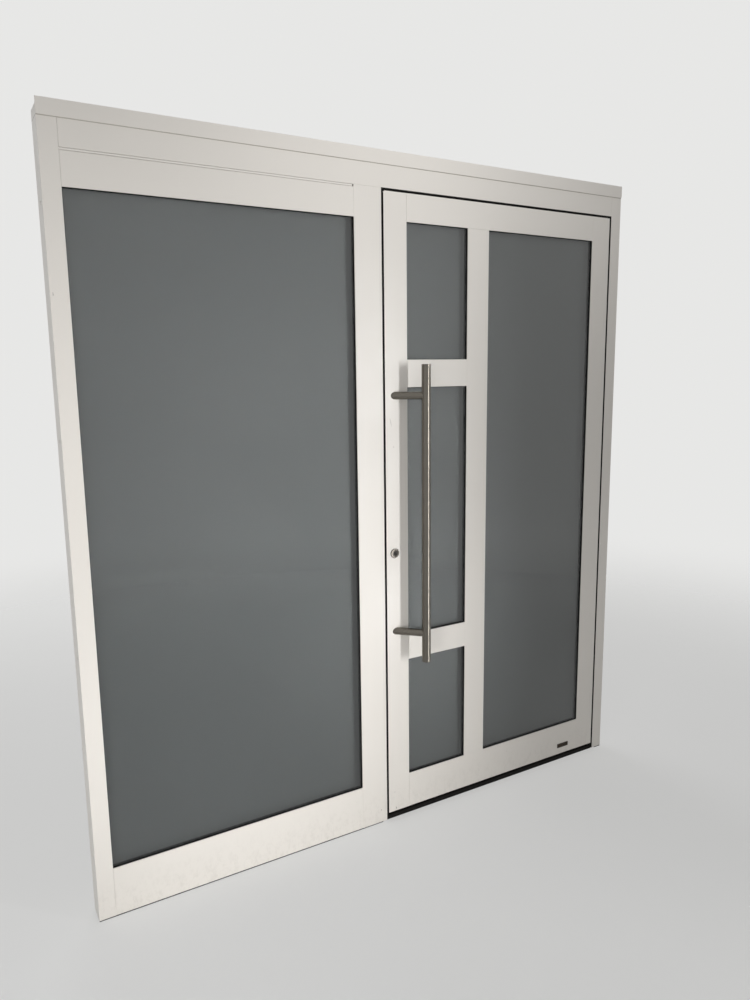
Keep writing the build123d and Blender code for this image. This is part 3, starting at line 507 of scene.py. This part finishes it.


# painted dark reflection: this tone is darker than bare steel, for the darker place the bar and its posts
# seem to mirror
DARK_STEEL = colour(0.180, 0.165, 0.143)
BARE_STEEL = colour(0.56, 0.55, 0.53)
bar_steel = ground_steel("bar_steel", DARK_STEEL, "Z", 0.26, 0.85, 0.012)
post_steel = ground_steel("post_steel", DARK_STEEL, "Y", 0.26, 0.5, 0.02)
# painted dark reflection: the lock cylinder's ring, face and plug are nearly black, for a dark place mirrored
# in polished metal
dark_ring = ground_steel("dark_ring", colour(0.050, 0.045, 0.040), "Y", 0.09, 0.2, 0.02)
dark_face = ground_steel("dark_face", colour(0.030, 0.028, 0.025), "Y", 0.06, 0.2, 0.01)
dark_plug = ground_steel("dark_plug", colour(0.008, 0.0075, 0.007), "Y", 0.16, 0.2, 0.03)
plate_steel = ground_steel("plate_steel", BARE_STEEL, "Z", 0.33, 0.5, 0.05)
lever_steel = ground_steel("lever_steel", BARE_STEEL, "X", 0.28, 0.5, 0.04)
ring_steel = ground_steel("ring_steel", colour(0.58, 0.56, 0.53), "Y", 0.22, 0.3, 0.04)
nickel = ground_steel("satin_nickel", colour(0.60, 0.58, 0.53), "Y", 0.26, 0.2, 0.05)
print("made nine metals")

# %% [markdown]
# ## Zinc-plated steel
# Hidden lock parts and hinge pins are zinc plated: a duller, bluish metal with a spangle of small patches.
# The cells of a Voronoi pattern are such patches. Each draws its own tone and its own roughness.

# %% Zinc plating
def zinc(name):
    """Zinc-plated steel with its small patches."""
    material, tree, shader = finish_of(name, Metallic=1.0)
    patches = add(tree, "ShaderNodeTexVoronoi", {"Vector": where(tree), "Scale": 260.0})
    pick = add(tree, "ShaderNodeSeparateColor", {"Color": patches.outputs["Color"]}).outputs["Red"]
    tone = between(tree, pick, colour(0.48, 0.50, 0.52), colour(0.60, 0.61, 0.62))
    rough = fit(tree, pick, 0.0, 1.0, 0.34, 0.46)
    grain = relief(tree, noise(tree, where(tree), 900.0), 0.00002, 0.4)
    feed(tree, shader, Base_Color=tone, Roughness=rough, Normal=grain)
    return material


zinc_steel = zinc("zinc_plated_steel")
print("made", zinc_steel.name)

# %% [markdown]
# ## The clear outer sheet
# Each pane is a sandwich, and its outer sheet is clear and glossy. Left as plain glass, it would keep the
# lamps out of the cavity behind it, because a renderer seldom finds a lamp through two bent rays. So the
# sheet lets rays from lamps straight through, a little tinted, and is glass for everything else. Smears
# change its roughness slightly. It mirrors less than real glass, again because the studio is pale.

# %% Clear glass
clear_glass, tree, shader = finish_of("clear_glass", Transmission_Weight=1.0, IOR=1.5,
                                      Specular_IOR_Level=0.16)
faint = between(tree, noise(tree, where(tree), 1.1), colour(0.955, 0.975, 0.97), colour(0.965, 0.98, 0.975))
smears = fit(tree, noise(tree, where(tree, (1, 1, 0.4)), 7.0, 5.0, 0.6), 0.5, 0.8, 0.0, 0.035)
feed(tree, shader, Base_Color=faint, Roughness=smears)
path = add(tree, "ShaderNodeLightPath")
passing = add(tree, "ShaderNodeBsdfTransparent", {"Color": colour(0.91, 0.93, 0.925)})
mixed = add(tree, "ShaderNodeMixShader", {0: path.outputs["Is Shadow Ray"], 1: shader.outputs[0],
                                          2: passing.outputs[0]})
end_in(tree, mixed.outputs[0])
print("made", clear_glass.name)

# %% [markdown]
# ## The frosted inner sheet
# The inner sheet is frosted: it scatters what is behind it into an even grey green. Rough glass alone would
# do that, but it is slow and grainy. So most of the light comes back from a plain body colour, and only a
# part goes through the sheet. From outside the sheet looks dark, because the room behind it is darker than
# the front, so its outer half has a near-black body: painted shade. From the room it is the other way round,
# so its inner half has a lighter body: painted light.

# %% Frosted glass
satin_glass, tree, shader = finish_of("frosted_glass", Transmission_Weight=0.22, IOR=1.5, Roughness=0.5,
                                      Specular_IOR_Level=0.25)
cloud = fit(tree, noise(tree, where(tree), 1.4, 3.0), 0.3, 0.7)
# painted shade on the outer half's body and painted light on the inner half's, for the darker and the
# brighter side
outer_body_painted_shade = between(tree, cloud, colour(0.0595, 0.064, 0.0642), colour(0.067, 0.0705, 0.0705))
inner_body_painted_light = between(tree, cloud, colour(0.20, 0.213, 0.211), colour(0.22, 0.232, 0.230))
pane_low, pane_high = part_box("side_inner_pane")
depth = add(tree, "ShaderNodeSeparateXYZ", {"Vector": where(tree)}).outputs["Y"]
inside = maths(tree, "GREATER_THAN", depth, (pane_low.y + pane_high.y) / 2)
etch = noise(tree, where(tree), 1400.0, 2.0)
feed(tree, shader, Base_Color=between(tree, inside, outer_body_painted_shade, inner_body_painted_light),
     Roughness=fit(tree, etch, 0.3, 0.7, 0.50, 0.54), Normal=relief(tree, etch, 0.000004, 0.25))
print("made", satin_glass.name)

# %% [markdown]
# ## Dressing the solids
# Each solid already names its finish in the record, so most of them are dressed by that name alone. Steel
# pieces are split further by the way they are ground. Dressing them one by one by hand would be sixty
# steps, and a new solid would be forgotten; two tables and a loop can't forget one.

# %% Give every solid its finish
FINISHES = {"white_paint": white_paint, "white_filler": white_filler, "clear_glass": clear_glass,
            "satin_glass": satin_glass, "black_seal": black_seal, "black_spacer": black_spacer,
            "black_brush": black_brush, "stainless": plate_steel, "nickel": nickel, "zinc_steel": zinc_steel}
BY_PIECE = {"pull_bar": bar_steel, "pull_bar_lower_post": post_steel, "pull_bar_upper_post": post_steel,
            "cylinder_outer_ring": dark_ring, "lock_cylinder": dark_face, "cylinder_plug": dark_plug,
            "cylinder_inner_ring": ring_steel, "lever_handle": lever_steel, "lever_rosette": ring_steel,
            "threshold": black_threshold}


def dress(piece, material):
    """One finish on a whole piece."""
    piece.data.materials.clear()
    piece.data.materials.append(material)


for row in frame["record"]["subparts"]:
    dress(nodes[row["node"]], BY_PIECE.get(row["node"], FINISHES[row["material_slot"]]))
print("dressed", len(nodes), "solids")

# %% [markdown]
# ## Growing small pieces with Geometry Nodes
# Screws, caps and bristles are one shape repeated at many places. Copies made by hand would have to be
# moved one by one after each change. A Geometry Nodes tree holds the shape and its sizes once, and a few
# points say where it goes. An attribute on the points says which way it faces. The result is turned into a
# plain mesh, one for each body, because a modifier's instances would be lost on export.

# %% Helpers for Geometry Nodes
NUMBER = "NodeSocketFloat"
COUNT = "NodeSocketInt"


def open_tree(name, inputs):
    """A new Geometry Nodes tree with named number inputs; returns the tree and its inputs."""
    tree = bpy.data.node_groups.new(name, "GeometryNodeTree")
    tree.interface.new_socket("Geometry", in_out="INPUT", socket_type="NodeSocketGeometry")
    for label, (kind, value) in inputs.items():
        socket = tree.interface.new_socket(label, in_out="INPUT", socket_type=kind)
        socket.default_value = value
    tree.interface.new_socket("Geometry", in_out="OUTPUT", socket_type="NodeSocketGeometry")
    return tree, add(tree, "NodeGroupInput").outputs


def close_tree(tree, geometry, material):
    """Ends a tree: instances made real, and the finish set."""
    real = add(tree, "GeometryNodeRealizeInstances", {"Geometry": geometry})
    coated = add(tree, "GeometryNodeSetMaterial", {"Geometry": real.outputs[0], "Material": material})
    add(tree, "NodeGroupOutput", {"Geometry": coated.outputs[0]})
    return tree


def lift(tree, height):
    """A vector straight up."""
    return add(tree, "ShaderNodeCombineXYZ", {"Z": height}).outputs["Vector"]


def on_points(tree, points, shape):
    """The shape on every point, its own Z turned the way that the point faces."""
    way = add(tree, "GeometryNodeInputNamedAttribute", {"Name": "facing"}, data_type="FLOAT_VECTOR")
    aim = add(tree, "FunctionNodeAlignRotationToVector", {"Vector": way.outputs["Attribute"]}, axis="Z")
    return add(tree, "GeometryNodeInstanceOnPoints", {
        "Points": points, "Instance": shape, "Rotation": aim.outputs["Rotation"]}).outputs["Instances"]


print("tree helpers ready")

# %% [markdown]
# ## From tree to mesh
# A maker object carries only the points and the tree. Its inputs are set by their identifiers, then Blender
# works the tree out once, and the mesh that comes out becomes the piece. The maker is thrown away. The
# piece stays at the origin with its place in its mesh, and rides on a body.

# %% A mesh from a tree
def settle(name, mesh, body):
    """A piece at the origin from a finished mesh, riding on a body."""
    mesh.name = name
    piece = bpy.data.objects.new(name, mesh)
    bpy.context.scene.collection.objects.link(piece)
    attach(piece, body)
    print(name, len(mesh.polygons), "faces")
    return piece


def grow(name, tree, places, way, body, slot, **sizes):
    """A plain mesh grown by a tree from places that all face one way."""
    seedbed = bpy.data.meshes.new(name + "_places")
    seedbed.from_pydata([Vector(p) for p in places], [], [])
    facing = seedbed.attributes.new("facing", "FLOAT_VECTOR", "POINT")
    for item in facing.data:
        item.vector = way
    maker = bpy.data.objects.new(name + "_maker", seedbed)
    bpy.context.scene.collection.objects.link(maker)
    modifier = maker.modifiers.new("grow", "NODES")
    modifier.node_group = tree
    for item in tree.interface.items_tree:
        if item.in_out == "INPUT" and item.name in sizes:
            modifier[item.identifier] = sizes[item.name]
    ready = maker.evaluated_get(bpy.context.evaluated_depsgraph_get())
    mesh = bpy.data.meshes.new_from_object(ready)
    bpy.data.objects.remove(maker)
    return settle(name, mesh, body)


print("ready to grow")

# %% [markdown]
# ## Screws with a hexagon socket
# A countersunk screw shows a flat disc with a broken edge and a six-sided recess. A bump could fake the
# recess, but it has no depth from the side. In the tree, a short cone on a shallow cylinder is the head,
# and a six-sided cylinder is cut from it. The head stands a few tenths of a millimetre proud of what it
# holds.

# %% Screws
def socket_screw(name, material):
    """A tree that sets a socket screw on every point."""
    tree, size = open_tree(name, {"Radius": (NUMBER, 0.004), "Proud": (NUMBER, 0.0005),
                                  "Socket": (NUMBER, 0.0016)})
    thick = maths(tree, "MULTIPLY", size["Proud"], 3.0)
    narrow = maths(tree, "MULTIPLY", size["Radius"], 0.88)
    head = add(tree, "GeometryNodeMeshCone", {"Vertices": 28, "Radius Top": narrow,
                                              "Radius Bottom": size["Radius"], "Depth": size["Proud"]})
    deep = add(tree, "GeometryNodeMeshCylinder", {"Vertices": 28, "Radius": size["Radius"], "Depth": thick})
    down = lift(tree, maths(tree, "MULTIPLY", thick, -0.5))
    sunk = add(tree, "GeometryNodeTransform", {"Geometry": deep.outputs["Mesh"], "Translation": down})
    body = add(tree, "GeometryNodeMeshBoolean", operation="UNION")
    tree.links.new(head.outputs["Mesh"], body.inputs[1])
    tree.links.new(sunk.outputs["Geometry"], body.inputs[1])
    hexagon = add(tree, "GeometryNodeMeshCylinder", {"Vertices": 6, "Radius": size["Socket"], "Depth": thick})
    cut = add(tree, "GeometryNodeMeshBoolean", {0: body.outputs[0]}, operation="DIFFERENCE")
    tree.links.new(hexagon.outputs["Mesh"], cut.inputs[1])
    return close_tree(tree, on_points(tree, size["Geometry"], cut.outputs[0]), material)


screw = socket_screw("socket_screw", zinc_steel)
steel_screw = socket_screw("steel_socket_screw", plate_steel)
print("made two screw trees")

# %% [markdown]
# ## Screws of the lock
# The faceplate on the leaf's edge has a screw at each end, and a long one between them that holds the lock
# cylinder. The strike plate in the mullion has two. Their places could be typed in, but they would be wrong
# after the next change of the lock. They are worked out from the boxes of the plates instead.

# %% Screws of the lock
MM = 0.001
END_MARGIN = 8 * MM
STRIKE_MARGIN = 5.5 * MM
CYLINDER_RADIUS = 11 * MM
PLATE_SCREW = {"Radius": 3.9 * MM, "Proud": 0.3 * MM, "Socket": 1.7 * MM}

face_low, face_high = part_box("lock_faceplate")
cylinder_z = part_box("lock_cylinder")[1].z - CYLINDER_RADIUS
plate_y = (face_low.y + face_high.y) / 2
places = [(face_low.x, plate_y, z) for z in (face_low.z + END_MARGIN, cylinder_z, face_high.z - END_MARGIN)]
grow("faceplate_screws", steel_screw, places, (-1, 0, 0), "leaf", "stainless", **PLATE_SCREW)

strike_low, strike_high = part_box("strike_plate")
places = [(strike_high.x, plate_y, z) for z in (strike_low.z + STRIKE_MARGIN, strike_high.z - STRIKE_MARGIN)]
grow("strike_screws", steel_screw, places, (1, 0, 0), "frame", "stainless", **PLATE_SCREW)

# %% [markdown]
# ## Screws of the hinges and the lever
# Each half of a hinge is held by a row of four screws, and the lever's round rosette by two small ones. The
# rows are written once, as heights above and below the middle of a hinge, and used for all three hinges.

# %% Screws of the hinges and the lever
SCREW_ROWS = (-46 * MM, -16 * MM, 16 * MM, 46 * MM)
PLATE_FACE_FROM_BACK = 17 * MM
LEAF_SCREW_IN = 12 * MM
FRAME_SCREW_IN = 9.5 * MM
ROSETTE_SCREW_OUT = 17 * MM
HINGE_SCREW = {"Radius": 5 * MM, "Proud": 0.5 * MM, "Socket": 2.2 * MM}
ROSETTE_SCREW = {"Radius": 2.8 * MM, "Proud": 0.2 * MM, "Socket": 1.2 * MM}

leaf_places, frame_places = [], []
for level in ("lower", "middle", "upper"):
    leaf_low, leaf_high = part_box(f"hinge_{level}_leaf_part")
    frame_low, frame_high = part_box(f"hinge_{level}_frame_part")
    middle_z = (leaf_low.z + leaf_high.z) / 2
    plate_face = leaf_high.y - PLATE_FACE_FROM_BACK
    for row in SCREW_ROWS:
        leaf_places.append((leaf_low.x + LEAF_SCREW_IN, plate_face, middle_z + row))
        frame_places.append((frame_high.x - FRAME_SCREW_IN, plate_face, middle_z + row))
grow("leaf_hinge_screws", screw, leaf_places, (0, 1, 0), "leaf", "zinc_steel", **HINGE_SCREW)
grow("frame_hinge_screws", screw, frame_places, (0, 1, 0), "frame", "zinc_steel", **HINGE_SCREW)

rosette_low, rosette_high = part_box("lever_rosette")
rosette_x = (rosette_low.x + rosette_high.x) / 2
rosette_z = (rosette_low.z + rosette_high.z) / 2
places = [(rosette_x, rosette_high.y, rosette_z + side * ROSETTE_SCREW_OUT) for side in (-1, 1)]
grow("rosette_screws", steel_screw, places, (0, 1, 0), "leaf", "stainless", **ROSETTE_SCREW)

# %% [markdown]
# ## Caps over the fixing screws
# The hinge jamb is screwed on through its hollow, and each hole is closed with a white plastic cap. A cap is
# a thin disc with a sloping rim. A cylinder with a bevel would do, but a very flat cone is the same shape
# with one node.

# %% Cover caps
cap_tree, size = open_tree("cover_cap", {"Radius": (NUMBER, 0.0075), "Proud": (NUMBER, 0.001)})
top = maths(cap_tree, "MULTIPLY", size["Radius"], 0.86)
cap = add(cap_tree, "GeometryNodeMeshCone", {"Vertices": 32, "Radius Top": top,
                                             "Radius Bottom": size["Radius"], "Depth": size["Proud"]})
close_tree(cap_tree, on_points(cap_tree, size["Geometry"], cap.outputs["Mesh"]), white_cap)

FIXING_DEPTH = 26 * MM
FIXING_HEIGHTS = (0.2, 0.8, 1.4, 2.0)
jamb_low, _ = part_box("right_jamb")
places = [(jamb_low.x, jamb_low.y + FIXING_DEPTH, z) for z in FIXING_HEIGHTS]
grow("fixing_caps", cap_tree, places, (-1, 0, 0), "frame", "white_filler", Radius=7.5 * MM, Proud=1.2 * MM)

# %% [markdown]
# ## The brush under the leaf
# A strip of black bristles closes the gap to the floor. Five rows of thin tapering hairs hang from a
# plastic holder, each leaning a little its own way and cut to almost the same length. Hair particles would
# do, but they don't export as a mesh. The hairs stand on a grid of points that the tree shakes with a fixed
# seed, and each hair is a cone of four sides, because there are thousands of them.

# %% A tree for bristles
SHAKE = 0.0005
SHORTEST_CUT = 0.88
TWIST = 3.0  # nearly half a turn, in radians

brush_tree, size = open_tree("bristles", {
    "Run": (NUMBER, 1.0), "Spread": (NUMBER, 0.005), "Hairs": (COUNT, 100), "Rows": (COUNT, 5),
    "Length": (NUMBER, 0.014), "Thickness": (NUMBER, 0.0003), "Lean": (NUMBER, 0.1), "Seed": (COUNT, 7)})
bed = add(brush_tree, "GeometryNodeMeshGrid", {"Size X": size["Run"], "Size Y": size["Spread"],
                                               "Vertices X": size["Hairs"], "Vertices Y": size["Rows"]})
shake = add(brush_tree, "FunctionNodeRandomValue", {0: (-SHAKE, -SHAKE, 0), 1: (SHAKE, SHAKE, 0),
                                                    "Seed": size["Seed"]}, data_type="FLOAT_VECTOR")
shaken = add(brush_tree, "GeometryNodeSetPosition", {"Geometry": bed.outputs["Mesh"],
                                                     "Offset": shake.outputs[0]})
tip = maths(brush_tree, "MULTIPLY", size["Thickness"], 0.5)
hair = add(brush_tree, "GeometryNodeMeshCone", {"Vertices": 4, "Radius Top": size["Thickness"],
                                                "Radius Bottom": tip, "Depth": size["Length"]})
drop = lift(brush_tree, maths(brush_tree, "MULTIPLY", size["Length"], -1.0))
hanging = add(brush_tree, "GeometryNodeTransform", {"Geometry": hair.outputs["Mesh"], "Translation": drop})
back_lean = maths(brush_tree, "MULTIPLY", size["Lean"], -1.0)
lean_low = add(brush_tree, "ShaderNodeCombineXYZ", {"X": back_lean, "Y": back_lean})
lean_high = add(brush_tree, "ShaderNodeCombineXYZ", {"X": size["Lean"], "Y": size["Lean"], "Z": TWIST})
lean = add(brush_tree, "FunctionNodeRandomValue", {0: lean_low.outputs[0], 1: lean_high.outputs[0],
                                                   "Seed": size["Seed"]}, data_type="FLOAT_VECTOR")
cut = add(brush_tree, "FunctionNodeRandomValue", {2: SHORTEST_CUT, 3: 1.0, "Seed": size["Seed"]},
          data_type="FLOAT")
cut_length = add(brush_tree, "ShaderNodeCombineXYZ", {"X": 1.0, "Y": 1.0, "Z": cut.outputs[1]})
field = add(brush_tree, "GeometryNodeInstanceOnPoints", {
    "Points": shaken.outputs["Geometry"], "Instance": hanging.outputs["Geometry"],
    "Rotation": lean.outputs[0], "Scale": cut_length.outputs["Vector"]})
placed = add(brush_tree, "GeometryNodeInstanceOnPoints", {"Points": size["Geometry"],
                                                          "Instance": field.outputs["Instances"]})
close_tree(brush_tree, placed.outputs["Instances"], black_brush)
print("bristle tree of", len(brush_tree.nodes), "nodes")

# %% Brush
HOLDER_HEIGHT = 5 * MM
END_FREE = 1 * MM
ROOT_DEPTH = 1 * MM
HAIR_PITCH = 1.1 * MM

brush_low, brush_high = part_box("bottom_brush")
brush_middle = (brush_low + brush_high) / 2
holder_foot = brush_high.z - HOLDER_HEIGHT
run = brush_high.x - brush_low.x - 2 * END_FREE
bristles = grow("brush_bristles", brush_tree, [(brush_middle.x, brush_middle.y, holder_foot + ROOT_DEPTH)],
                (0, 0, 1), "leaf", "black_brush", Run=run, Spread=5 * MM, Hairs=int(run / HAIR_PITCH), Rows=5,
                Length=(holder_foot - brush_low.z), Thickness=0.32 * MM, Lean=0.1, Seed=7)
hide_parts("bottom_brush")

# %% [markdown]
# ## The holder of the brush
# The bristles are clamped in a black plastic bar with two lips that bend inwards. A bevelled block would
# hide the lips. The bar has the same section from end to end, so its outline is drawn once and pushed along
# the leaf. The outline turns the faces one way or the other, so their normals are worked out afterwards.

# %% Helpers for drawn shapes
def new_piece(name, shape, material, body):
    """A piece from a finished bmesh, its faces turned outwards."""
    bmesh.ops.recalc_face_normals(shape, faces=shape.faces)
    mesh = bpy.data.meshes.new(name)
    shape.to_mesh(mesh)
    shape.free()
    mesh.materials.append(material)
    return settle(name, mesh, body)


def extruded(outline, start, along):
    """A closed bar: an outline of points pushed along a vector."""
    shape = bmesh.new()
    near = [shape.verts.new(Vector(p) + Vector(start)) for p in outline]
    far = [shape.verts.new(v.co + Vector(along)) for v in near]
    shape.faces.new(near)
    shape.faces.new(list(reversed(far)))
    for i, v in enumerate(near):
        j = (i + 1) % len(near)
        shape.faces.new((near[j], v, far[i], far[j]))
    return shape


print("ready to draw")

# %% Holder of the brush
LIP_THICK = 1.6 * MM
GROOVE = 1.2 * MM
half = (brush_high.y - brush_low.y) / 2
profile = [(-half, HOLDER_HEIGHT), (-half, LIP_THICK), (-half + GROOVE, 0), (-half + 2 * LIP_THICK, 0),
           (-half + 2 * LIP_THICK, LIP_THICK), (half - 2 * LIP_THICK, LIP_THICK), (half - 2 * LIP_THICK, 0),
           (half - GROOVE, 0), (half, LIP_THICK), (half, HOLDER_HEIGHT)]
bar = extruded([(0, y, z) for y, z in profile], (brush_low.x, brush_middle.y, holder_foot),
               (brush_high.x - brush_low.x, 0, 0))
holder = new_piece("brush_holder", bar, black_brush, "leaf")
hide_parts("bottom_brush")

# %% [markdown]
# ## The little plate at the foot of the leaf
# A small dark plate is stuck on the bottom rail. It stays bare. It could be a plain block, but its raised
# rim catches the light. So it is a rounded rectangle, with its front face inset and pushed back a little.
# Its bronze is worn in small patches, which are lighter and duller than the rest.

# %% Finish of the plate
plate_finish, tree, shader = finish_of("plate_bronze", Specular_IOR_Level=0.15)
worn = fit(tree, noise(tree, where(tree), 160.0, 6.0, 0.65), 0.35, 0.75)
bronze = between(tree, worn, colour(0.020, 0.016, 0.011), colour(0.085, 0.062, 0.040))
feed(tree, shader, Base_Color=bronze, Roughness=fit(tree, worn, 0.0, 1.0, 0.32, 0.5),
     Normal=relief(tree, noise(tree, where(tree), 1500.0), 0.00003, 0.5))
print("made", plate_finish.name)

# %% Bare plate
PLATE_LONG = 57 * MM
PLATE_HIGH = 17 * MM
PLATE_THICK = 1.2 * MM
PLATE_X, PLATE_Z = 0.885, 0.062
PLATE_CORNER = 2 * MM
CORNER_STEPS = 5
RIM = 1.5 * MM
RIM_DEPTH = 0.35 * MM

outline = []
for corner, (side, level) in enumerate(((1, 1), (-1, 1), (-1, -1), (1, -1))):
    for step in range(CORNER_STEPS):
        angle = (corner + step / (CORNER_STEPS - 1)) * math.pi / 2
        x = side * (PLATE_LONG / 2 - PLATE_CORNER) + PLATE_CORNER * math.cos(angle)
        z = level * (PLATE_HIGH / 2 - PLATE_CORNER) + PLATE_CORNER * math.sin(angle)
        outline.append((x, 0, z))
rail_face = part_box("leaf_bottom_rail")[0].y
shape = extruded(outline, (PLATE_X, rail_face, PLATE_Z), (0, -PLATE_THICK, 0))
shape.faces.ensure_lookup_table()
front = min(shape.faces, key=lambda face: face.calc_center_median().y)
bmesh.ops.recalc_face_normals(shape, faces=shape.faces)
bmesh.ops.inset_region(shape, faces=[front], thickness=RIM, depth=0)
bmesh.ops.inset_region(shape, faces=[front], thickness=RIM_DEPTH, depth=-RIM_DEPTH)
new_piece("bare_plate", shape, plate_finish, "leaf")
